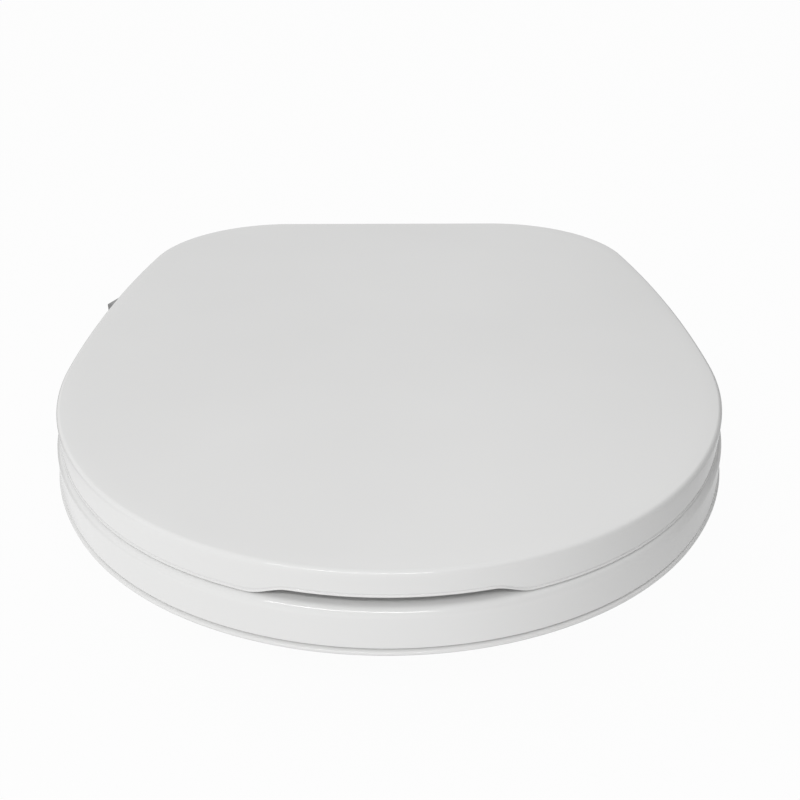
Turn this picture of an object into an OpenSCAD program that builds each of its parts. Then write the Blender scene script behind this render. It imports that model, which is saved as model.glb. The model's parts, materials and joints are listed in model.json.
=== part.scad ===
// Clamp-on raised toilet seat with a soft-close lid.
// Z = 0 is the top of the toilet bowl's rim, where the rubber pads rest.
// The origin is the centre of the seat opening. -Y is the front, +Z is up.

/* [Lid] */
// Front edge of the lid, as a distance from the opening centre
lid_front = 205; // [200:1:210]
// Height of the lid's flat top above the bowl rim
lid_top = 48; // [47:0.5:50]
// Height of the lid's skirt
lid_skirt = 17.3; // [16:0.1:18]
// Thickness of the lid's top panel
lid_panel = 3.5; // [3:0.1:4]
// Height of the finger scoop in the front of the skirt
scoop_h = 4.7; // [4:0.1:5]
// Half the width of the finger scoop where it meets the lid's lower edge
scoop_half_w = 60; // [50:1:64]

/* [Seat] */
// Height of the seat shell's bottom edge
shell_bottom = 11; // [11:0.5:11.5]
// Height of the seat's outer top edge
shell_edge = 30.2; // [30:0.1:30.3]
// Height of the crowned sitting surface
shell_crown = 33; // [32:0.5:34]
// Wall thickness of the seat shell
wall = 3; // [2.5:0.1:3.2]
// Half the width of the opening
open_a = 112; // [108:1:114]
// Half the length of the opening
open_b = 138; // [134:1:140]
// Radius of the opening's front and rear ends
open_end_r = 98; // [94:1:100]
// Straight rear edge of the seat
seat_rear = 217; // [216:0.5:218]
// Depth of the bowl collar below the rim
collar_depth = 25; // [15:1:30]

/* [Lid hinge] */
// Distance of the hinge axis behind the opening centre
hinge_y = 228; // [227.5:0.5:228.5]
// Height of the hinge axis
hinge_z = 26.5; // [26:0.1:27]
// Radius of the lugs and knuckles
hinge_r = 8; // [7.5:0.1:8]
// Radius of the damper shaft
shaft_r = 3; // [2.5:0.1:3.2]

/* [Clamp] */
// Radius of the crank pin's circle round the lever pivot
crank_e = 7; // [6.5:0.1:7]
// Thickness of the locking lever
lever_t = 9; // [8:0.5:9]
// Distance of each closed jaw's rubber face from the middle
jaw_x = 152; // [149:1:152]
// How far the jaws reach below the bowl rim
jaw_depth = 38; // [30:1:42]

/* [Hidden] */
$fn = 96;
white = "whitesmoke";
steel = "silver";
dark = "dimgray";

// The lid's outline is a chain of tangent arcs: front, shoulder, side, rear corner.
edge_r = [173.2, 212, 926.8, 90.35];
// Direction of the outward normal where the arcs start and end, on the right side
edge_a = [-90, -37.62, -1.83, 9.63, 90];
function normal(a) = [cos(a), sin(a)];
function edge_c(i) = i == 0 ? [0, edge_r[0] - lid_front]
    : edge_c(i - 1) + (edge_r[i - 1] - edge_r[i]) * normal(edge_a[i]);
// Steps in each arc's half of the outline
edge_steps = [16, 12, 7, 20];
corner_c = edge_c(3);
lid_rear = corner_c.y + edge_r[3];

// The opening is a four-arc oval.
open_side_r = (open_a^2 + (open_b - open_end_r)^2 - open_end_r^2) / (2 * (open_a - open_end_r));
open_side_c = open_side_r - open_a;
open_end_c = open_b - open_end_r;
open_join = atan2(open_end_c, open_side_c);

lid_bottom = lid_top - lid_skirt;
lid_bead = 0.9;
bead_proud = 0.3;
panel_bottom = lid_top - lid_panel;
// Length of the scoop's S-shaped ends
scoop_s = 18;
buffer_places = [[-104, -128], [104, -128], [-118, 150], [118, 150]];
buffer_gap = 0.3;
base_bottom = 8;
base_seam = 10.6;
shell_proud = 2.9;
crown_inset = 5;
pad_peg_r = 3;
pad_l = 34;
pad_w = 15;
pad_groove = 1.2;
pad_groove_x = [-11, -6.5, 6.5, 11];
// Each pad's place and the direction across it
pad_places = [[-92, -141], [92, -141], [-106, 134], [106, 134]];
pad_turns = [225, 135, 135, 225];
screw_r = 1.5;
head_r = 2.6;
head_h = 1.4;
boss_r = 4;
boss_angles = [20, 65, 115, 160, 200, 245, 295, 340];

lug_x = 60;
lug_w = 12;
lug_screw_dx = [-16, -6];
side_gap = 0.4;
knuckle_x = lug_x + lug_w + side_gap;
knuckle_w = 28;
barrel_r = 5.5;
shaft_gap = 0.05;
shaft_reach = 12;

pivot = [-150, 182];
pivot_r = 3;
lever_z = 13.9;
hub_r = 11;
slot_gap = 0.7;
slider_z = 11.3;
slider_t = 2;
crank_r = 2.5;
// The crank pin starts an eighth of a turn from its middle position, towards the bowl.
crank_rest = pivot + crank_e * normal(-45);
jaw_y = 154;
jaw_w = 44;
jaw_plate = 2.5;
jaw_rubber = 3.5;
jaw_back = -jaw_x - jaw_rubber - jaw_plate;
stem_half_w = 8;
jaw_slot_half_w = 14;
gusset_t = 2;
fixed_flange = 24;
fixed_holes = [for (y = [-12, 12]) [jaw_x - 12, jaw_y + y]];
moving_holes = [for (y = [-4.5, 4.5]) [-jaw_x - 1, jaw_y + y]];
guide_x = -134;
guide_l = 26;
guide_h = 6;
guide_holes = [for (x = [4, 22], y = [-11.5, 11.5]) [guide_x + x, jaw_y + y]];
washer_t = 0.5;
// The washer stays clear of the crank pin.
washer_r = crank_e - crank_r - 0.3;
clip_r = 5;
clip_t = 1;
tine_gap = crank_r + 0.3;
tine_w = 6;
// Outer tip of the lever's grip, and the line where the grip joins the arm
tip = [-200.5, 138];
grip_join = [[-191.9, 160], [-174, 158]];

// ---------- shared shapes ----------

function arc(c, r, from, to, steps) =
    [for (k = [0 : steps]) c + r * normal(from + (to - from) * k / steps)];
function mirrored(points) = [for (k = [len(points) - 1 : -1 : 0]) [-points[k].x, points[k].y]];

// The lid's outline, moved outwards by d
module outline(d) {
    right = unique([for (i = [0 : 3], p = arc(edge_c(i), edge_r[i] + d, edge_a[i],
        edge_a[i + 1], edge_steps[i])) p]);
    polygon(concat([[0, -lid_front - d]], right, mirrored(right)));
}

// Drops each point that lies on the one before it, or on the middle line
function unique(points) = [for (k = [0 : len(points) - 1])
    if (points[k].x > 0.1 && (k == 0 || norm(points[k] - points[k - 1]) > 0.1)) points[k]];

// Sweeps a profile of [distance outside the opening, height] round the opening.
module open_sweep()
    for (turn = [0, 180]) rotate(turn) {
        translate([0, open_end_c, 0]) rotate(open_join)
            rotate_extrude(angle = 180 - 2 * open_join, $fn = 240)
                translate([open_end_r, 0]) children();
        translate([-open_side_c, 0, 0]) rotate(-open_join)
            rotate_extrude(angle = 2 * open_join, $fn = 240)
                translate([open_side_r, 0]) children();
    }

// The opening's outline, moved outwards by d
module opening(d) {
    quarter = unique(concat(
        arc([-open_side_c, 0], open_side_r + d, 0, open_join, 12),
        arc([0, open_end_c], open_end_r + d, open_join, 90, 14)));
    half = concat(quarter, [[0, open_b + d]], mirrored(quarter));
    polygon(concat(half, [for (k = [1 : len(half) - 2]) -half[k]]));
}

// A flat solid of an outline, from one height to another
module slab(from, to)
    translate([0, 0, from]) linear_extrude(to - from) children();

// The part of an outline that lies in front of the line y = rear
module cut_at(rear)
    intersection() {
        children();
        translate([-250, -250]) square([500, 250 + rear]);
    }

module pin_along_x(x, r, length)
    translate([x, hinge_y, hinge_z]) rotate([0, 90, 0]) cylinder(r = r, h = length);

// A countersunk screw whose head faces down at the origin
module screw_up(length) {
    cylinder(r1 = screw_r * 1.9, r2 = screw_r, h = 1.8);
    cylinder(r = screw_r, h = length);
}

// A screw whose shank points up from the origin and whose head hangs below it
module capped_screw(length) {
    cylinder(r = screw_r, h = length);
    translate([0, 0, -head_h]) cylinder(r = head_r, h = head_h);
}

// A bar with round ends
module stadium(length, width, height) {
    for (end = [-1, 1]) translate([end * (length - width) / 2, 0, 0])
        cylinder(r = width / 2, h = height);
    translate([-(length - width) / 2, -width / 2, 0]) cube([length - width, width, height]);
}

module at_bosses()
    for (a = boss_angles)
        translate([(open_a + 35) * cos(a), (open_b + 33) * sin(a), 0]) children();

// Places the bosses that hold the hinge lugs, pointing to the rear
module at_lug_bosses()
    for (x = [-1, 1], dx = lug_screw_dx)
        translate([x * (lug_x + dx), seat_rear - 10, hinge_z - 4]) rotate([-90, 0, 0]) children();

// ---------- seat ----------

// Opening in the shell's left side for the lever's swing
module lever_slot()
    translate([-190, 138, lever_z - slot_gap]) cube([50, 74, lever_t + 2 * slot_gap]);

// Space inside the seat shell, kept out of the opening's wall
module shell_space(d)
    cut_at(seat_rear - wall) difference() {
        outline(d);
        opening(wall);
    }

module seat_shell() color(white) difference() {
    union() {
        difference() {
            union() {
                slab(shell_bottom, shell_edge) cut_at(seat_rear) outline(shell_proud);
                slab(shell_bottom, shell_crown) cut_at(seat_rear) outline(-crown_inset);
            }
            slab(shell_bottom - 1, shell_crown + 1) opening(0);
            slab(shell_bottom - 1, shell_edge - wall) shell_space(shell_proud - wall);
            slab(shell_bottom, shell_crown - wall) shell_space(-crown_inset - wall);
        }
        slab(shell_bottom, shell_crown - 1) at_bosses() circle(boss_r);
        at_lug_bosses() cylinder(r = boss_r, h = 9);
    }
    slab(shell_bottom - 1, shell_bottom + 13) at_bosses() circle(screw_r);
    at_lug_bosses() translate([0, 0, -1]) cylinder(r = screw_r, h = 12);
    lever_slot();
}

// The base's lip shows as a thin band under the seat shell.
module seat_base() color(white) difference() {
    union() {
        slab(base_bottom, base_seam) cut_at(seat_rear) outline(shell_proud + 1);
        slab(base_bottom, shell_bottom) cut_at(seat_rear) outline(shell_proud - 1.4);
    }
    slab(base_bottom - 1, shell_bottom + 1) {
        opening(0);
        for (p = pad_places) translate(p) circle(pad_peg_r);
        translate(pivot) circle(pivot_r + 0.4);
        // Slot that the moving jaw's stem slides in
        translate([-jaw_x - 20, jaw_y - jaw_slot_half_w]) square([26, 2 * jaw_slot_half_w]);
        // Holes for the clamp guide's and the fixed jaw's screws
        for (p = concat(guide_holes, fixed_holes)) translate(p) circle(screw_r);
    }
    translate([0, 0, base_bottom]) at_bosses() screw_up(5);
}

module base_screws() color(steel)
    translate([0, 0, base_bottom]) at_bosses() screw_up(12);

module bowl_collar() color(white)
    open_sweep() polygon([[0, base_bottom], [9, base_bottom], [9, base_bottom - 2],
        [2.6, base_bottom - 2.6], [0, -collar_depth], [-2.5, -collar_depth]]);

// Rubber pad with grooves across its sole and a peg that plugs into the base

module rim_pad(i) color(dark) translate(pad_places[i]) {
    rotate(pad_turns[i]) difference() {
        stadium(pad_l, pad_w, base_bottom);
        for (x = pad_groove_x) translate([x - pad_groove / 2, -pad_w, -1])
            cube([pad_groove, 2 * pad_w, 1.8]);
    }
    translate([0, 0, base_bottom - 1]) cylinder(r = pad_peg_r, h = shell_bottom - base_bottom + 1);
}

// ---------- lid hinge ----------

// side is -1 on the left and 1 on the right
module hinge_lug(side) color(white) mirror([side < 0 ? 1 : 0, 0, 0]) difference() {
    union() {
        pin_along_x(lug_x, hinge_r, lug_w);
        translate([lug_x, seat_rear + 1, hinge_z - 7])
            cube([lug_w, hinge_y - seat_rear - 1, 12]);
        translate([lug_x - 20, seat_rear, hinge_z - 10]) cube([20 + lug_w, wall, 14]);
    }
    pin_along_x(lug_x - 1, shaft_r, lug_w + 2);
    for (dx = lug_screw_dx) translate([lug_x + dx, seat_rear - 1, hinge_z - 4])
        rotate([-90, 0, 0]) cylinder(r = screw_r, h = 6);
}

module lug_screws() color(steel)
    for (x = [-1, 1], dx = lug_screw_dx)
        translate([x * (lug_x + dx), seat_rear + wall, hinge_z - 4]) rotate([90, 0, 0])
            capped_screw(10);

module damper_shaft(side) color(steel) mirror([side < 0 ? 1 : 0, 0, 0])
    pin_along_x(lug_x, shaft_r, knuckle_x - lug_x + shaft_reach - 1);

module hinge_knuckle(side) color(white) mirror([side < 0 ? 1 : 0, 0, 0]) difference() {
    union() {
        pin_along_x(knuckle_x, hinge_r, knuckle_w);
        translate([knuckle_x, hinge_y - 6, hinge_z]) cube([knuckle_w, 13, panel_bottom - hinge_z]);
        translate([knuckle_x, hinge_y - 24, panel_bottom - 3]) cube([knuckle_w, 31, 3]);
    }
    pin_along_x(knuckle_x - 1, barrel_r, knuckle_w + 2);
    for (x = [7, knuckle_w - 7])
        translate([knuckle_x + x, hinge_y - 16, panel_bottom - 4]) cylinder(r = screw_r, h = 6);
}

module knuckle_screws() color(steel)
    for (side = [-1, 1], x = [7, knuckle_w - 7])
        translate([side * (knuckle_x + x), hinge_y - 16, panel_bottom - 3]) capped_screw(5);

// Soft-close damper body, which turns on the shaft
module damper_barrel(side) color(dark) mirror([side < 0 ? 1 : 0, 0, 0]) difference() {
    pin_along_x(knuckle_x, barrel_r, knuckle_w - 3);
    pin_along_x(knuckle_x - 1, shaft_r + shaft_gap, shaft_reach + 1);
}

module hinge_cap(side) color(white) mirror([side < 0 ? 1 : 0, 0, 0]) {
    pin_along_x(knuckle_x + knuckle_w - 3, barrel_r, 3);
    pin_along_x(knuckle_x + knuckle_w, hinge_r, 1.5);
}

// ---------- lid ----------

// Height of the scoop's S-shaped ends at a distance x from its middle
function scoop_z(x) = scoop_h * (1 - cos(180 * min(1, (scoop_half_w - abs(x)) / scoop_s))) / 2;

module lid_shell() color(white) difference() {
    union() {
        slab(lid_bottom, lid_top) outline(0);
        // Rolled lower edge
        slab(lid_bottom, lid_bottom + lid_bead) outline(bead_proud);
    }
    slab(lid_bottom - 1, lid_top - lid_panel) outline(-wall);
    translate([0, -lid_front + 25, lid_bottom]) rotate([90, 0, 0]) linear_extrude(50)
        polygon(concat([[scoop_half_w, -5], [-scoop_half_w, -5]],
            [for (x = [-scoop_half_w : 2 : -scoop_half_w + scoop_s]) [x, scoop_z(x)]],
            [for (x = [scoop_half_w - scoop_s : 2 : scoop_half_w]) [x, scoop_z(x)]]));
    for (side = [-1, 1], x = [7, knuckle_w - 7])
        translate([side * (knuckle_x + x), hinge_y - 16, panel_bottom - 1])
            cylinder(r = screw_r, h = 3);
}

module lid_buffer(i) color(white) translate(buffer_places[i])
    translate([0, 0, shell_crown + buffer_gap])
        stadium(26, 12, panel_bottom - shell_crown - buffer_gap);

// ---------- clamp ----------

// A flanged plate with its rubber face at x = -jaw_x, before it is turned or mirrored
module jaw_plate_shape(top) {
    translate([jaw_back, jaw_y - jaw_w / 2, -jaw_depth])
        cube([jaw_plate, jaw_w, jaw_depth + top]);
    // Gussets behind the plate
    for (y = [-12, 12 - gusset_t]) translate([jaw_back, jaw_y + y, 0]) rotate([-90, 0, 0])
        linear_extrude(gusset_t) polygon([[0, -top], [0, jaw_depth - 6], [-7, -top]]);
}

module fixed_jaw() color(steel) difference() {
    union() {
        mirror([1, 0, 0]) jaw_plate_shape(base_bottom - jaw_plate);
        translate([jaw_x - fixed_flange, jaw_y - jaw_w / 2, base_bottom - jaw_plate])
            cube([fixed_flange - jaw_back - jaw_x, jaw_w, jaw_plate]);
    }
    for (p = fixed_holes) translate(p) cylinder(r = screw_r, h = base_bottom + 1);
}

module fixed_jaw_screws() color(steel)
    for (p = fixed_holes) translate([p.x, p.y, base_bottom - jaw_plate])
        capped_screw(jaw_plate + shell_bottom - base_bottom);

module jaw_rubber_shape() difference() {
    translate([-jaw_x - jaw_rubber, jaw_y - 18, -jaw_depth + 2])
        cube([jaw_rubber, 36, jaw_depth - 4]);
    // Grip grooves in the rubber face
    for (z = [-jaw_depth + 8 : 6 : -6])
        translate([-jaw_x - 1.2, jaw_y - 20, z]) cube([2, 40, 1.5]);
}

module fixed_jaw_pad() color(dark) mirror([1, 0, 0]) jaw_rubber_shape();

// Bridge that keeps the slider down on the base
module clamp_guide() color(white) difference() {
    translate([guide_x, jaw_y - 15, shell_bottom]) cube([guide_l, 30, guide_h]);
    // Tunnel for the slider
    translate([guide_x - 1, jaw_y - stem_half_w - 0.3, shell_bottom - 1])
        cube([guide_l + 2, 2 * stem_half_w + 0.6, 3.7]);
    for (p = guide_holes) translate(p) cylinder(r = screw_r, h = shell_bottom + guide_h + 1);
}

module guide_screws() color(steel)
    for (p = guide_holes) translate([p.x, p.y, shell_bottom + guide_h]) mirror([0, 0, 1])
        capped_screw(guide_h + shell_bottom - base_bottom);

module lever_pivot() color(steel) translate(pivot) {
    translate([0, 0, base_bottom])
        cylinder(r = pivot_r + 0.4, h = lever_z - washer_t - base_bottom);
    translate([0, 0, lever_z - washer_t]) cylinder(r = pivot_r, h = washer_t + lever_t + 2);
}

// A washer round the lever pivot
module lever_ring(r, z, t) translate([pivot.x, pivot.y, z]) difference() {
    cylinder(r = r, h = t);
    translate([0, 0, -1]) cylinder(r = pivot_r, h = t + 2);
}

module lever_washer() color(steel) lever_ring(washer_r, lever_z - washer_t, washer_t);

module pivot_clip() color(steel) lever_ring(clip_r, lever_z + lever_t + 0.3, clip_t);

module lock_lever() color(dark) difference() {
    union() {
        translate([pivot.x, pivot.y, lever_z]) cylinder(r = hub_r, h = lever_t);
        translate([0, 0, lever_z]) linear_extrude(lever_t)
            polygon([pivot + [-3, 10.6], pivot + [-24, 2], pivot + [-38.8, -14],
                grip_join[0], grip_join[1], pivot + [-16, -10], pivot + [-8, -7.5]]);
    }
    translate([pivot.x, pivot.y, lever_z - 1]) cylinder(r = pivot_r + shaft_gap, h = lever_t + 2);
    translate([crank_rest.x, crank_rest.y, lever_z - 1]) cylinder(r = crank_r, h = 7);
}

// Flared end that the fingers pull
module lever_grip() color("gray")
    translate([0, 0, lever_z]) linear_extrude(lever_t)
        polygon([tip, tip + [4.9, 12.4], grip_join[0], grip_join[1], tip + [19, 0]]);

module crank_pin() color(steel)
    translate([crank_rest.x, crank_rest.y, slider_z + 0.2]) cylinder(r = crank_r, h = 8);

// Flat slider with a fork that the crank pin pushes
module clamp_slider() color(steel)
    translate([0, 0, slider_z]) linear_extrude(slider_t) difference() {
        union() {
            translate([jaw_back, jaw_y - stem_half_w])
                square([guide_x + guide_l + 3 - jaw_back, 2 * stem_half_w]);
            translate([crank_rest.x - tine_gap - tine_w, jaw_y])
                square([2 * (tine_gap + tine_w), pivot.y - pivot_r - 0.8 - jaw_y]);
        }
        translate([crank_rest.x - tine_gap, jaw_y + stem_half_w + 1])
            square([2 * tine_gap, pivot.y - jaw_y]);
        for (p = moving_holes) translate(p) circle(screw_r);
    }

module moving_jaw() color(steel) difference() {
    union() {
        jaw_plate_shape(4);
        // Stem through the base slot, and the foot that the slider is screwed to
        translate([jaw_back, jaw_y - stem_half_w, 0])
            cube([jaw_plate, 2 * stem_half_w, slider_z]);
        translate([jaw_back, jaw_y - stem_half_w, base_bottom])
            cube([12, 2 * stem_half_w, slider_z - base_bottom]);
    }
    for (p = moving_holes) translate([p.x, p.y, base_bottom - 1])
        cylinder(r = screw_r, h = slider_z - base_bottom + 2);
}

module moving_jaw_pad() color(dark) jaw_rubber_shape();

module moving_jaw_screws() color(steel)
    for (p = moving_holes) translate([p.x, p.y, base_bottom])
        cylinder(r = screw_r, h = slider_z + slider_t - base_bottom);

seat_shell();
seat_base();
base_screws();
bowl_collar();
rim_pad(0);  // rim_pad_front_left
rim_pad(1);  // rim_pad_front_right
rim_pad(2);  // rim_pad_rear_left
rim_pad(3);  // rim_pad_rear_right
hinge_lug(-1);  // hinge_lug_left
hinge_lug(1);  // hinge_lug_right
lug_screws();
damper_shaft(-1);  // damper_shaft_left
damper_shaft(1);  // damper_shaft_right
fixed_jaw();
fixed_jaw_pad();
fixed_jaw_screws();
clamp_guide();
guide_screws();
lever_pivot();
lever_washer();
pivot_clip();
lid_shell();
lid_buffer(0);  // lid_buffer_front_left
lid_buffer(1);  // lid_buffer_front_right
lid_buffer(2);  // lid_buffer_rear_left
lid_buffer(3);  // lid_buffer_rear_right
hinge_knuckle(-1);  // hinge_knuckle_left
hinge_knuckle(1);  // hinge_knuckle_right
knuckle_screws();
damper_barrel(-1);  // damper_barrel_left
damper_barrel(1);  // damper_barrel_right
hinge_cap(-1);  // hinge_cap_left
hinge_cap(1);  // hinge_cap_right
lock_lever();
lever_grip();
crank_pin();
clamp_slider();
moving_jaw();
moving_jaw_pad();
moving_jaw_screws();
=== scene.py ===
"""Looks of a clamp-on raised toilet seat.

The lid, seat and base are rebuilt as smooth mouldings. Every other CAD node but the collar
has a copy with rounded edges, and the collar is carried over with its own material.
"""

import json
import math

import bmesh
import bpy
from mathutils import Matrix, Vector


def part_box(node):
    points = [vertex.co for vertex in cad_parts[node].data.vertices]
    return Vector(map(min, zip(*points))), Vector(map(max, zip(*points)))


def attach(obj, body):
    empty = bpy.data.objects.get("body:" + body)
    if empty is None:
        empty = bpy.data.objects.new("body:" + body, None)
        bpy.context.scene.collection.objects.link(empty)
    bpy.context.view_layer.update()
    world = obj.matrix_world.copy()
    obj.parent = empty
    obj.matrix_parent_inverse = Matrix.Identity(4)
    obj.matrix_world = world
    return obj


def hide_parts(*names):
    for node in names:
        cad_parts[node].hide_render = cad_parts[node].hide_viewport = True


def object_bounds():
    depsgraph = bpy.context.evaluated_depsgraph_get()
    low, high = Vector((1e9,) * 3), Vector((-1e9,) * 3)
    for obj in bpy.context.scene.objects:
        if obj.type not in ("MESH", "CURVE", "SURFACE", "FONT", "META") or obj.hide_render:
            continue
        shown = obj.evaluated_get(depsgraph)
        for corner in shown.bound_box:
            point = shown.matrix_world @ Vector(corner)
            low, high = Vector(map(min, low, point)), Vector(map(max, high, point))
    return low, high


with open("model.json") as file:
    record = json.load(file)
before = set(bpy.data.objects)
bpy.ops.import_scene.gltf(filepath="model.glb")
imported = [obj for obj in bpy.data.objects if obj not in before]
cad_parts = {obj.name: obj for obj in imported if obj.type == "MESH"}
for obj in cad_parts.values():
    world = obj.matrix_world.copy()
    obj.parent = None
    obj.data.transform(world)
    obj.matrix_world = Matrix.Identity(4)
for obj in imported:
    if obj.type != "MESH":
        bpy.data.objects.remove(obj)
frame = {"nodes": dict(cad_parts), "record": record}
cad_low, cad_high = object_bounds()
nodes = frame["nodes"]
MM = 0.001

# ---------------------------------------------------------------- driving sizes, in metres

lid_low, lid_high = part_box("lid_shell")
seat_low, seat_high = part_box("seat_shell")
base_low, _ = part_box("seat_base")

LID_TOP = lid_high.z
LID_BOTTOM = lid_low.z
# How far the lid's rolled lower edge stands out past its side
BEAD = 0.3 * MM
FRONT = lid_low.y
REAR = seat_high.y
SHELL_BOTTOM = seat_low.z
SHELL_TOP = SHELL_BOTTOM + 19.2 * MM
CROWN = seat_high.z
BASE_BOTTOM = base_low.z
# How far the seat stands out past the lid's outline
PROUD = 2.9 * MM
WALL = 3 * MM
# Steps of the sitting surface from its outer rounding to the opening's
CROWN_STEPS = 24

# The lid's outline: radii of the front, shoulder, side and rear corner arcs, and
# the outward normal's direction where each arc starts and ends, in degrees
EDGE_RADII = (0.1732, 0.212, 0.9268, 0.09035)
EDGE_ANGLES = (-90, -37.62, -1.83, 9.63, 90)
EDGE_STEPS = (72, 48, 40, 40)
REAR_STEPS = 24

# The opening is a four-arc oval: half its width, half its length and its end radius
OPEN_A, OPEN_B, OPEN_END_R = 0.112, 0.138, 0.098

# The finger scoop in the lid's front: half its width, its height and its ends' length
SCOOP_HALF, SCOOP_HEIGHT, SCOOP_END = 0.060, 4.7 * MM, 0.018


# ---------------------------------------------------------------- outlines

def direction(angle):
    return Vector((math.cos(math.radians(angle)), math.sin(math.radians(angle))))


def lid_edge():
    """Points of the lid's outline with their outward normals, from the front's middle round"""
    centre = Vector((0, FRONT + EDGE_RADII[0]))
    right = []
    for i, steps in enumerate(EDGE_STEPS):
        if i:
            centre += (EDGE_RADII[i - 1] - EDGE_RADII[i]) * direction(EDGE_ANGLES[i])
        first, last = EDGE_ANGLES[i], EDGE_ANGLES[i + 1]
        for k in range(steps):
            normal = direction(first + (last - first) * k / steps)
            right.append((centre + EDGE_RADII[i] * normal, normal))
    rear_y = centre.y + EDGE_RADII[3]
    for k in range(REAR_STEPS):
        x = centre.x * (1 - k / REAR_STEPS)
        right.append((Vector((x, rear_y)), Vector((0, 1))))
    middle = (Vector((0, rear_y)), Vector((0, 1)))
    left = [(Vector((-p.x, p.y)), Vector((-n.x, n.y))) for p, n in reversed(right[1:])]
    return right + [middle] + left


def opening_edge(angles):
    """A point of the opening's outline and its outward normal for each polar angle, in radians."""
    side_r = (OPEN_A**2 + (OPEN_B - OPEN_END_R) ** 2 - OPEN_END_R**2) / (2 * (OPEN_A - OPEN_END_R))
    side_x = side_r - OPEN_A
    end_y = OPEN_B - OPEN_END_R
    join = math.atan2(end_y + OPEN_END_R * end_y / math.hypot(side_x, end_y),
                      OPEN_END_R * side_x / math.hypot(side_x, end_y))
    made = []
    for angle in angles:
        ray = Vector((math.cos(angle), math.sin(angle)))
        quarter = math.atan2(abs(ray.y), abs(ray.x))
        if quarter < join:
            centre, radius = Vector((-math.copysign(side_x, ray.x), 0)), side_r
        else:
            centre, radius = Vector((0, math.copysign(end_y, ray.y))), OPEN_END_R
        along = ray.dot(centre)
        reach = along + math.sqrt(radius**2 - centre.length_squared + along**2)
        point = ray * reach
        made.append((point, (point - centre).normalized()))
    return made


EDGE = lid_edge()
OPEN_EDGE = opening_edge([math.atan2(p.y, p.x) for p, n in EDGE])


def soft_limit(value, limit, blend):
    """value, held under limit with a rounded change-over of width blend"""
    if value <= limit - blend:
        return value
    if value >= limit + blend:
        return limit
    return limit - (limit + blend - value) ** 2 / (4 * blend)


def lid_loop(offset):
    return [p + n * offset for p, n in EDGE]


def seat_loop(offset, rear):
    """The lid's outline moved outwards and cut straight at the rear, with rounded corners."""
    loop = []
    for p, n in EDGE:
        q = p + n * offset
        loop.append(Vector((q.x, soft_limit(q.y, rear, 4 * MM))))
    return loop


def open_loop(offset):
    return [p + n * offset for p, n in OPEN_EDGE]


def mixed_loop(outer, inner, share):
    return [a.lerp(b, share) for a, b in zip(outer, inner)]


def turn(centre_d, centre_z, radius, first, last, steps):
    """Section points (distance outwards, height) on an arc"""
    return [(centre_d + radius * math.cos(math.radians(first + (last - first) * k / steps)),
             centre_z + radius * math.sin(math.radians(first + (last - first) * k / steps)))
            for k in range(steps + 1)]


def smooth_step(t):
    t = min(1.0, max(0.0, t))
    return t * t * (3 - 2 * t)


# ---------------------------------------------------------------- mesh helpers

def add_object(name, bm):
    bmesh.ops.recalc_face_normals(bm, faces=bm.faces)
    mesh = bpy.data.meshes.new(name)
    bm.to_mesh(mesh)
    bm.free()
    for polygon in mesh.polygons:
        polygon.use_smooth = True
    made = bpy.data.objects.new(name, mesh)
    bpy.context.scene.collection.objects.link(made)
    return made


def skin(bm, rings):
    """Joins rings of equal length with quads and returns the rings' vertices."""
    made = [[bm.verts.new(p) for p in ring] for ring in rings]
    for below, above in zip(made, made[1:]):
        bridge(bm, below, above)
    return made


def bridge(bm, one, other):
    count = len(one)
    for k in range(count):
        after = (k + 1) % count
        bm.faces.new((one[k], one[after], other[after], other[k]))


def fan(bm, ring, centre):
    middle = bm.verts.new(centre)
    count = len(ring)
    for k in range(count):
        bm.faces.new((ring[k], ring[(k + 1) % count], middle))


def apply_modifiers(piece):
    graph = bpy.context.evaluated_depsgraph_get()
    mesh = bpy.data.meshes.new_from_object(piece.evaluated_get(graph))
    piece.modifiers.clear()
    piece.data = mesh


def carve(piece, cutter):
    """Cuts cutter out of piece and removes the cutter."""
    cut = piece.modifiers.new("carve", "BOOLEAN")
    cut.operation, cut.solver, cut.object = "DIFFERENCE", "EXACT", cutter
    apply_modifiers(piece)
    bpy.data.objects.remove(cutter)


def smooth_by_angle(piece, degrees):
    """Smooth shading, with sharp edges where faces meet at more than the angle"""
    piece.data.polygons.foreach_set("use_smooth", [True] * len(piece.data.polygons))
    piece.data.set_sharp_from_angle(angle=math.radians(degrees))


# ---------------------------------------------------------------- lid

def scoop_rise(x, y):
    """How far the finger scoop lifts the skirt's lower edge at a place"""
    if y > 0 or abs(x) >= SCOOP_HALF:
        return 0.0
    return SCOOP_HEIGHT * smooth_step((SCOOP_HALF - abs(x)) / SCOOP_END)


def lid_ring(offset, height, follow):
    """One ring of the lid. follow is how much of the scoop's rise the ring takes."""
    return [(p.x, p.y, height + follow * scoop_rise(p.x, p.y)) for p in lid_loop(offset)]


def shrunk_ring(offset, height, share):
    """A flat ring part of the way in to the lid's middle"""
    middle = Vector((0, (FRONT + lid_high.y) / 2))
    return [(*middle.lerp(p, share), height) for p in lid_loop(offset)]


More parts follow.
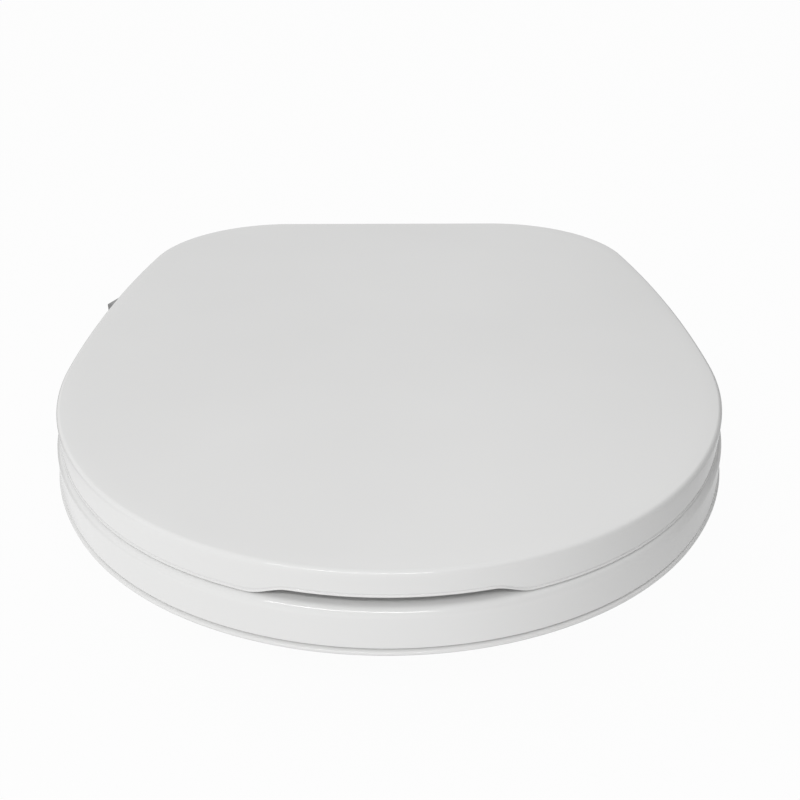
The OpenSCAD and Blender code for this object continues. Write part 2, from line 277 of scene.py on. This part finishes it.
def make_lid():
    edge_r = 2.4 * MM
    bead_r = 0.55 * MM
    dome = 0.25 * MM
    under = LID_TOP - 3.5 * MM
    fillet = 3 * MM
    bead_z = LID_BOTTOM + bead_r
    rings = []
    for d, z in turn(-WALL - fillet, under - fillet, fillet, 90, 0, 6):
        rings.append(lid_ring(d, z, 0.0))
    rings.append(lid_ring(-WALL, LID_BOTTOM + 6 * MM, 0.75))
    rings.append(lid_ring(-WALL, LID_BOTTOM + 0.6 * MM, 1.0))
    rings.append(lid_ring(-WALL + 0.5 * MM, LID_BOTTOM + 0.05 * MM, 1.0))
    for d, z in turn(BEAD - bead_r, bead_z, bead_r, -90, 80, 8):
        rings.append(lid_ring(d, z, 1.0))
    # A fine groove parts the rolled lower edge from the side
    rings.append(lid_ring(-0.22 * MM, LID_BOTTOM + 1.25 * MM, 1.0))
    rings.append(lid_ring(-0.2 * MM, LID_BOTTOM + 1.4 * MM, 1.0))
    rings.append(lid_ring(0, LID_BOTTOM + 1.75 * MM, 1.0))
    rings.append(lid_ring(0, LID_BOTTOM + 2.6 * MM, 0.9))
    rings.append(lid_ring(0, LID_BOTTOM + 5 * MM, 0.62))
    rings.append(lid_ring(0, LID_BOTTOM + 8 * MM, 0.32))
    rings.append(lid_ring(0, LID_BOTTOM + 11 * MM, 0.1))
    top_z = LID_TOP - dome
    for d, z in turn(-edge_r, top_z - edge_r, edge_r, 0, 90, 8):
        rings.append(lid_ring(d, z, 0.0))
    for share in (0.96, 0.85, 0.7, 0.5, 0.3, 0.12):
        rings.append(shrunk_ring(-edge_r, top_z + dome * (1 - share**2), share))
    bm = bmesh.new()
    made = skin(bm, rings)
    middle_y = (FRONT + lid_high.y) / 2
    fan(bm, made[-1], (0, middle_y, LID_TOP))
    fan(bm, made[0], (0, middle_y, under))
    lid = add_object("lid_moulding", bm)
    smooth_by_angle(lid, 50)
    return lid


# ---------------------------------------------------------------- seat

def seat_ring(offset, height):
    rear = REAR + min(0.0, offset - PROUD) * 0.9
    return [(p.x, p.y, height) for p in seat_loop(offset, rear)]


def open_ring(offset, height):
    return [(p.x, p.y, height) for p in open_loop(offset)]


def crown_height(share):
    """Height of the sitting surface from its outer edge (0) to the opening's rounding (1)"""
    return SHELL_TOP + (CROWN - SHELL_TOP) * math.sin(math.pi / 2 * min(1.0, share * 1.5)) ** 0.9


def sitting_rings(lower_by, outer_d, inner_d):
    """Rings of the crowned surface between the outer rounding and the opening's rounding"""
    rings = []
    outer = seat_loop(outer_d, REAR + (outer_d - PROUD) * 0.9)
    inner = open_loop(inner_d)
    for k in range(1, CROWN_STEPS):
        share = k / CROWN_STEPS
        height = crown_height(share) - lower_by
        rings.append([(p.x, p.y, height) for p in mixed_loop(outer, inner, share)])
    return rings


def make_seat():
    top_r = 4.4 * MM
    round_r = 9 * MM
    draft = 0.5 * MM
    lip_z = SHELL_BOTTOM + 0.5 * MM
    rings = [seat_ring(PROUD - WALL, SHELL_BOTTOM), seat_ring(PROUD - 0.5 * MM, SHELL_BOTTOM)]
    rings.append(seat_ring(PROUD, lip_z))
    for k in range(1, 6):
        share = k / 6
        rings.append(seat_ring(PROUD - draft * share,
                               lip_z + (SHELL_TOP - top_r - lip_z) * share))
    outer_d = PROUD - draft - top_r
    for d, z in turn(outer_d, SHELL_TOP - top_r, top_r, 0, 86, 9):
        rings.append(seat_ring(d, z))
    rings += sitting_rings(0, outer_d, round_r)
    for d, z in turn(round_r, CROWN - round_r, round_r, 90, 180, 10):
        rings.append(open_ring(d, z))
    rings.append(open_ring(0, SHELL_BOTTOM + 4 * MM))
    rings.append(open_ring(0, SHELL_BOTTOM))
    rings.append(open_ring(WALL, SHELL_BOTTOM))
    rings.append(open_ring(WALL, CROWN - round_r))
    rings += list(reversed(sitting_rings(WALL, outer_d, round_r)))
    rings.append(seat_ring(PROUD - WALL, SHELL_TOP - top_r))
    bm = bmesh.new()
    made = skin(bm, rings)
    bridge(bm, made[-1], made[0])
    return add_object("seat_moulding", bm)


def cube_cutter(low, high):
    bm = bmesh.new()
    bmesh.ops.create_cube(bm, size=1)
    size = high - low
    for v in bm.verts:
        v.co = Vector((low[i] + (v.co[i] + 0.5) * size[i] for i in range(3)))
    return add_object("cutter", bm)


def recess_cutter(node):
    """Shallow round pockets in the base's underside, one round each screw or pin of a node"""
    source = nodes[node]
    bm = bmesh.new()
    bm.from_mesh(source.data)
    bmesh.ops.remove_doubles(bm, verts=bm.verts, dist=1e-6)
    low = [v for v in bm.verts if v.co.z < BASE_BOTTOM + 0.3 * MM]
    spots = []
    for v in low:
        for spot in spots:
            if (spot[0] - v.co).length < 8 * MM:
                spot.append(v.co.copy())
                break
        else:
            spots.append([v.co.copy()])
    bm.free()
    made = bmesh.new()
    for spot in spots:
        middle = sum(spot, Vector()) / len(spot)
        radius = max((v - middle).length for v in spot) + 0.25 * MM
        place = Matrix.Translation((middle.x, middle.y, BASE_BOTTOM))
        bmesh.ops.create_cone(made, cap_ends=True, segments=32, radius1=radius, radius2=radius,
                              depth=1.2 * MM, matrix=place)
    return add_object("cutter", made)


def make_base():
    lip_r = 1.0 * MM
    lip_z = BASE_BOTTOM + lip_r
    rings = [open_ring(0, BASE_BOTTOM), open_ring(4 * MM, BASE_BOTTOM)]
    outer = seat_loop(PROUD - 6 * MM, REAR - 6 * MM)
    inner = open_loop(4 * MM)
    for k in (1, 2, 3):
        rings.append([(p.x, p.y, BASE_BOTTOM) for p in mixed_loop(inner, outer, k / 3)])
    for d, z in turn(PROUD, lip_z, lip_r, -80, 75, 8):
        rings.append(seat_ring(d, z))
    # The groove between the lip and the seat shell
    rings.append(seat_ring(PROUD - 0.9 * MM, SHELL_BOTTOM - 0.9 * MM))
    rings.append(seat_ring(PROUD - 1.4 * MM, SHELL_BOTTOM - 0.8 * MM))
    rings.append(seat_ring(PROUD - 1.4 * MM, SHELL_BOTTOM))
    rings.append(open_ring(0, SHELL_BOTTOM))
    bm = bmesh.new()
    made = skin(bm, rings)
    bridge(bm, made[-1], made[0])
    return add_object("base_moulding", bm)


# ---------------------------------------------------------------- fittings

def softened(node, width=0.35 * MM):
    """A copy of a CAD node with its hard edges rounded as moulded or pressed parts have them"""
    source = nodes[node]
    bm = bmesh.new()
    bm.from_mesh(source.data)
    bmesh.ops.remove_doubles(bm, verts=bm.verts, dist=1e-6)
    bmesh.ops.dissolve_limit(bm, angle_limit=math.radians(0.5), verts=bm.verts, edges=bm.edges)
    made = add_object(node + "_soft", bm)
    bevel = made.modifiers.new("round", "BEVEL")
    bevel.width, bevel.segments, bevel.limit_method = width, 3, "ANGLE"
    bevel.angle_limit = math.radians(40)
    bevel.use_clamp_overlap = True
    apply_modifiers(made)
    smooth_by_angle(made, 30)
    return made


# ---------------------------------------------------------------- materials

def new_material(name):
    material = bpy.data.materials.new(name)
    material.use_nodes = True
    tree = material.node_tree
    return material, tree, tree.nodes["Principled BSDF"]


def noise(tree, scale, detail=2.0):
    place = tree.nodes.new("ShaderNodeTexCoord")
    made = tree.nodes.new("ShaderNodeTexNoise")
    made.inputs["Scale"].default_value = scale
    made.inputs["Detail"].default_value = detail
    tree.links.new(place.outputs["Object"], made.inputs["Vector"])
    return made


def spread(tree, source, low, high):
    """Maps a noise's middle range to low..high"""
    made = tree.nodes.new("ShaderNodeMapRange")
    made.inputs["From Min"].default_value = 0.3
    made.inputs["From Max"].default_value = 0.7
    made.inputs["To Min"].default_value = low
    made.inputs["To Max"].default_value = high
    tree.links.new(source, made.inputs["Value"])
    return made.outputs["Result"]


def tint(tree, source, dark, light):
    """A colour that varies between two tones with a noise"""
    ramp = tree.nodes.new("ShaderNodeValToRGB")
    ramp.color_ramp.elements[0].position = 0.3
    ramp.color_ramp.elements[0].color = (*dark, 1)
    ramp.color_ramp.elements[1].position = 0.7
    ramp.color_ramp.elements[1].color = (*light, 1)
    tree.links.new(source, ramp.inputs["Fac"])
    return ramp.outputs["Color"]


def bump(tree, shader, layers):
    """Adds bump layers of (height source, strength, distance in metres)."""
    last = None
    for source, strength, distance in layers:
        made = tree.nodes.new("ShaderNodeBump")
        made.inputs["Strength"].default_value = strength
        made.inputs["Distance"].default_value = distance
        tree.links.new(source, made.inputs["Height"])
        if last:
            tree.links.new(last.outputs["Normal"], made.inputs["Normal"])
        last = made
    tree.links.new(last.outputs["Normal"], shader.inputs["Normal"])


def gloss_plastic(name, dark, light, rough=(0.07, 0.12), peel=0.05):
    """Moulded white plastic: a faint orange peel, fine grain and patchy gloss"""
    material, tree, shader = new_material(name)
    patches = noise(tree, 9)
    tree.links.new(tint(tree, patches.outputs["Fac"], dark, light), shader.inputs["Base Color"])
    smears = noise(tree, 26, 4)
    tree.links.new(spread(tree, smears.outputs["Fac"], *rough), shader.inputs["Roughness"])
    shader.inputs["Specular IOR Level"].default_value = 0.4
    shader.inputs["IOR"].default_value = 1.49
    shader.inputs["Coat Weight"].default_value = 0.25
    shader.inputs["Coat Roughness"].default_value = 0.04
    bump(tree, shader, [(noise(tree, 320).outputs["Fac"], peel, 0.0002),
                        (noise(tree, 2400).outputs["Fac"], peel * 0.5, 0.00003)])
    return material


def satin_plastic(name, dark, light, rough=(0.38, 0.5)):
    """Moulded satin plastic with a spark-eroded grain"""
    material, tree, shader = new_material(name)
    patches = noise(tree, 60, 3)
    tree.links.new(tint(tree, patches.outputs["Fac"], dark, light), shader.inputs["Base Color"])
    tree.links.new(spread(tree, noise(tree, 140, 4).outputs["Fac"], *rough),
                   shader.inputs["Roughness"])
    bump(tree, shader, [(noise(tree, 1800, 3).outputs["Fac"], 0.25, 0.00008)])
    return material


def rubber(name, dark, light):
    """Dull rubber with a dusty bloom"""
    material, tree, shader = new_material(name)
    bloom = noise(tree, 180, 5)
    tree.links.new(tint(tree, bloom.outputs["Fac"], dark, light), shader.inputs["Base Color"])
    tree.links.new(spread(tree, bloom.outputs["Fac"], 0.65, 0.85), shader.inputs["Roughness"])
    shader.inputs["Specular IOR Level"].default_value = 0.35
    bump(tree, shader, [(noise(tree, 2600, 2).outputs["Fac"], 0.4, 0.0001)])
    return material


def steel(name, stretch, rough=(0.22, 0.36)):
    """Stainless steel with fine marks drawn out along one axis"""
    material, tree, shader = new_material(name)
    shader.inputs["Metallic"].default_value = 1.0
    place = tree.nodes.new("ShaderNodeTexCoord")
    mapping = tree.nodes.new("ShaderNodeMapping")
    mapping.inputs["Scale"].default_value = stretch
    marks = tree.nodes.new("ShaderNodeTexNoise")
    marks.inputs["Scale"].default_value = 900
    marks.inputs["Detail"].default_value = 3
    tree.links.new(place.outputs["Object"], mapping.inputs["Vector"])
    tree.links.new(mapping.outputs["Vector"], marks.inputs["Vector"])
    tree.links.new(tint(tree, marks.outputs["Fac"], (0.55, 0.55, 0.55), (0.64, 0.64, 0.63)),
                   shader.inputs["Base Color"])
    tree.links.new(spread(tree, marks.outputs["Fac"], *rough), shader.inputs["Roughness"])
    bump(tree, shader, [(marks.outputs["Fac"], 0.15, 0.00004)])
    return material


WHITE_DARK, WHITE_LIGHT = (0.795, 0.795, 0.79), (0.815, 0.815, 0.81)
FINISH = {
    "lid_plastic": gloss_plastic("lid_plastic", WHITE_DARK, WHITE_LIGHT),
    "seat_plastic": gloss_plastic("seat_plastic", WHITE_DARK, WHITE_LIGHT),
    "fitting_plastic": gloss_plastic("fitting_plastic", (0.74, 0.74, 0.73), (0.77, 0.77, 0.76),
                                     (0.26, 0.36), 0.1),
    "damper_plastic": satin_plastic("damper_plastic", (0.05, 0.052, 0.055), (0.07, 0.072, 0.075)),
    "lever_grey": satin_plastic("lever_grey", (0.27, 0.27, 0.27), (0.31, 0.31, 0.31), (0.3, 0.42)),
    "grip_rubber": rubber("grip_rubber", (0.02, 0.02, 0.021), (0.035, 0.035, 0.036)),
    "buffer_rubber": rubber("buffer_rubber", (0.62, 0.62, 0.6), (0.68, 0.68, 0.66)),
    "bracket_steel": steel("bracket_steel", (1, 0.05, 1)),
    "bright_steel": steel("bright_steel", (1, 1, 0.1), (0.16, 0.28)),
}


SLOT_OF = {s["node"]: s["material_slot"] for s in frame["record"]["subparts"]}
BODY_OF = {n: body for body, names in frame["record"]["behaviour"]["bodies"].items() for n in names}


def give_material(piece, slot):
    piece.data.materials.clear()
    piece.data.materials.append(FINISH[slot])


def finish_piece(piece, node):
    """Puts a piece in a CAD node's place, on its body and in its material"""
    slot, body = SLOT_OF[node], BODY_OF[node]
    give_material(piece, slot)
    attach(piece, body)
    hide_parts(node)


# ---------------------------------------------------------------- the object

# Plan boxes (low corner, high corner) of the lever's slot in the seat's side and of the moving
# jaw's slot in the base
LEVER_SLOT = ((-0.190, 0.138), (-0.140, 0.212))
JAW_SLOT = ((-0.172, 0.140), (-0.146, 0.168))
# Room over and under the lever in its slot, and how far the jaw's cutter passes the base
SLOT_GAP = 0.7 * MM
CUT_PAST = 0.01

lid = make_lid()
finish_piece(lid, "lid_shell")

seat = make_seat()
arm_low, arm_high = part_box("lock_lever")
carve(seat, cube_cutter(Vector((*LEVER_SLOT[0], arm_low.z - SLOT_GAP)),
                        Vector((*LEVER_SLOT[1], arm_high.z + SLOT_GAP))))
smooth_by_angle(seat, 40)
finish_piece(seat, "seat_shell")

base = make_base()
carve(base, cube_cutter(Vector((*JAW_SLOT[0], BASE_BOTTOM - CUT_PAST)),
                        Vector((*JAW_SLOT[1], SHELL_BOTTOM + CUT_PAST))))
for fitting in ("base_screws", "guide_screws", "lever_pivot", "moving_jaw_screws"):
    carve(base, recess_cutter(fitting))
smooth_by_angle(base, 40)
finish_piece(base, "seat_base")

MOULDED = {"lid_shell", "seat_shell", "seat_base"}
CARRIED_OVER = {"bowl_collar"}
for name, node in nodes.items():
    if name in MOULDED:
        continue
    if name in CARRIED_OVER:
        give_material(node, SLOT_OF[name])
    else:
        finish_piece(softened(name), name)

# ---------------------------------------------------------------- camera, floor and light

AIM = Vector((5.2 * MM, -58 * MM, LID_TOP))
PITCH = math.radians(27.72)
YAW = math.radians(0.56)
DISTANCE = 0.5263

camera_data = bpy.data.cameras.new("camera")
camera_data.lens, camera_data.sensor_width = 45, 36
camera = bpy.data.objects.new("camera", camera_data)
back = Vector((-math.sin(YAW) * math.cos(PITCH), -math.cos(YAW) * math.cos(PITCH), math.sin(PITCH)))
camera.location = AIM + back * DISTANCE
camera.rotation_mode = "QUATERNION"
camera.rotation_quaternion = (-back).to_track_quat("-Z", "Y")
camera_data.clip_start, camera_data.clip_end = 0.01, 100
bpy.context.scene.collection.objects.link(camera)
bpy.context.scene.camera = camera


def add_area(name, place, aim, size, power):
    data = bpy.data.lights.new(name, "AREA")
    data.shape, data.size, data.size_y, data.energy = "RECTANGLE", size[0], size[1], power
    light = bpy.data.objects.new(name, data)
    light.location = place
    light.rotation_mode = "QUATERNION"
    light.rotation_quaternion = (Vector(aim) - Vector(place)).to_track_quat("-Z", "Y")
    bpy.context.scene.collection.objects.link(light)


def eased(tree, value, start, end):
    """0 below start, 1 above end and a smooth change between"""
    made = tree.nodes.new("ShaderNodeMapRange")
    made.interpolation_type = "SMOOTHSTEP"
    made.inputs["From Min"].default_value = start
    made.inputs["From Max"].default_value = end
    tree.links.new(value, made.inputs["Value"])
    return made.outputs["Result"]


# Strengths of the studio's light: overhead, low at the front, low at the rear left and low at the
# right; and of the floor's glow: in front, at the rear left, at the right and under the object
REAR_LEFT = (-0.8, 0.6, 0)
OVERHEAD, BRIGHT, LEFT, SHADE = 0.84, 0.8, 0.78, 0.0
FLOOR, FLOOR_LEFT, FLOOR_RIGHT, FLOOR_UNDER = 0.965, 0.4, 0.36, 0.1
BACKDROP = 0.98
# Where each of them changes over: on the floor in metres, in the sky along a unit direction
FLOOR_LEFT_EDGE, FLOOR_RIGHT_EDGE, FLOOR_UNDER_EDGE = (0.12, 0.32), (0.02, 0.42), (0.19, 0.26)
SKY_LEFT_EDGE, SKY_RIGHT_EDGE, SKY_HIGH_EDGE = (0.2, 0.8), (0.05, 0.7), (0.4, 0.9)
# The object's plan is longer than it is wide, so distances across count for this much more
PLAN_STRETCH = 1.12
SOFTBOX_PLACE, SOFTBOX_AIM = (-0.2, -0.85, 0.85), (0, -0.05, 0)
SOFTBOX_SIZE, SOFTBOX_POWER = (0.9, 0.1), 3.2


def blended(tree, share, low, high):
    """low where share is 0, high where it is 1"""
    made = tree.nodes.new("ShaderNodeMix")
    tree.links.new(share, made.inputs["Factor"])
    for name, value in (("A", low), ("B", high)):
        if isinstance(value, float):
            made.inputs[name].default_value = value
        else:
            tree.links.new(value, made.inputs[name])
    return made.outputs["Result"]


def along(tree, source, direction):
    """How far a position or direction reaches along another direction"""
    made = tree.nodes.new("ShaderNodeVectorMath")
    made.operation = "DOT_PRODUCT"
    made.inputs[1].default_value = direction
    tree.links.new(source, made.inputs[0])
    return made.outputs["Value"]


def make_floor():
    """A floor that the camera sees evenly white.

    Its glow on the object is weaker under it, at the rear left and at the right.
    """
    bm = bmesh.new()
    bmesh.ops.create_grid(bm, x_segments=1, y_segments=1, size=12)
    made = add_object("floor", bm)
    made.location.z = cad_low.z - 2 * MM
    material, tree, shader = new_material("floor")
    shader.inputs["Base Color"].default_value = (0.02, 0.02, 0.02, 1)
    shader.inputs["Roughness"].default_value = 1.0
    shader.inputs["Specular IOR Level"].default_value = 0.0
    shader.inputs["Emission Color"].default_value = (1, 1, 1, 1)
    place = tree.nodes.new("ShaderNodeTexCoord")
    parts = tree.nodes.new("ShaderNodeSeparateXYZ")
    tree.links.new(place.outputs["Object"], parts.inputs["Vector"])
    stretched = tree.nodes.new("ShaderNodeMapping")
    stretched.inputs["Scale"].default_value = (PLAN_STRETCH, 1, 0)
    tree.links.new(place.outputs["Object"], stretched.inputs["Vector"])
    reach = tree.nodes.new("ShaderNodeVectorMath")
    reach.operation = "LENGTH"
    tree.links.new(stretched.outputs["Vector"], reach.inputs[0])
    seen = tree.nodes.new("ShaderNodeLightPath").outputs["Is Camera Ray"]
    rear_left = eased(tree, along(tree, place.outputs["Object"], REAR_LEFT), *FLOOR_LEFT_EDGE)
    side = blended(tree, rear_left, FLOOR, FLOOR_LEFT)
    side = blended(tree, eased(tree, parts.outputs["X"], *FLOOR_RIGHT_EDGE), side, FLOOR_RIGHT)
    outside = eased(tree, reach.outputs["Value"], *FLOOR_UNDER_EDGE)
    glow = blended(tree, outside, FLOOR_UNDER, side)
    tree.links.new(blended(tree, seen, glow, FLOOR), shader.inputs["Emission Strength"])
    made.data.materials.append(material)


def make_world():
    """A white sky, dark low down at the right; the camera itself sees an even white backdrop"""
    world = bpy.data.worlds.new("studio")
    world.use_nodes = True
    tree = world.node_tree
    place = tree.nodes.new("ShaderNodeTexCoord")
    parts = tree.nodes.new("ShaderNodeSeparateXYZ")
    tree.links.new(place.outputs["Generated"], parts.inputs["Vector"])
    right = eased(tree, parts.outputs["X"], *SKY_RIGHT_EDGE)
    high = eased(tree, parts.outputs["Z"], *SKY_HIGH_EDGE)
    rear_left = eased(tree, along(tree, place.outputs["Generated"], REAR_LEFT), *SKY_LEFT_EDGE)
    low_light = blended(tree, right, blended(tree, rear_left, BRIGHT, LEFT), SHADE)
    strength = blended(tree, high, low_light, OVERHEAD)
    studio = tree.nodes["Background"]
    tree.links.new(strength, studio.inputs["Strength"])
    backdrop = tree.nodes.new("ShaderNodeBackground")
    backdrop.inputs["Strength"].default_value = BACKDROP
    path = tree.nodes.new("ShaderNodeLightPath")
    mix = tree.nodes.new("ShaderNodeMixShader")
    tree.links.new(path.outputs["Is Camera Ray"], mix.inputs["Fac"])
    tree.links.new(studio.outputs["Background"], mix.inputs[1])
    tree.links.new(backdrop.outputs["Background"], mix.inputs[2])
    tree.links.new(mix.outputs["Shader"], tree.nodes["World Output"].inputs["Surface"])
    for node in (studio, backdrop):
        node.inputs["Color"].default_value = (1, 1, 1, 1)
    bpy.context.scene.world = world


make_floor()
make_world()
add_area("softbox", SOFTBOX_PLACE, SOFTBOX_AIM, SOFTBOX_SIZE, SOFTBOX_POWER)
bpy.context.scene.view_settings.view_transform = "Standard"
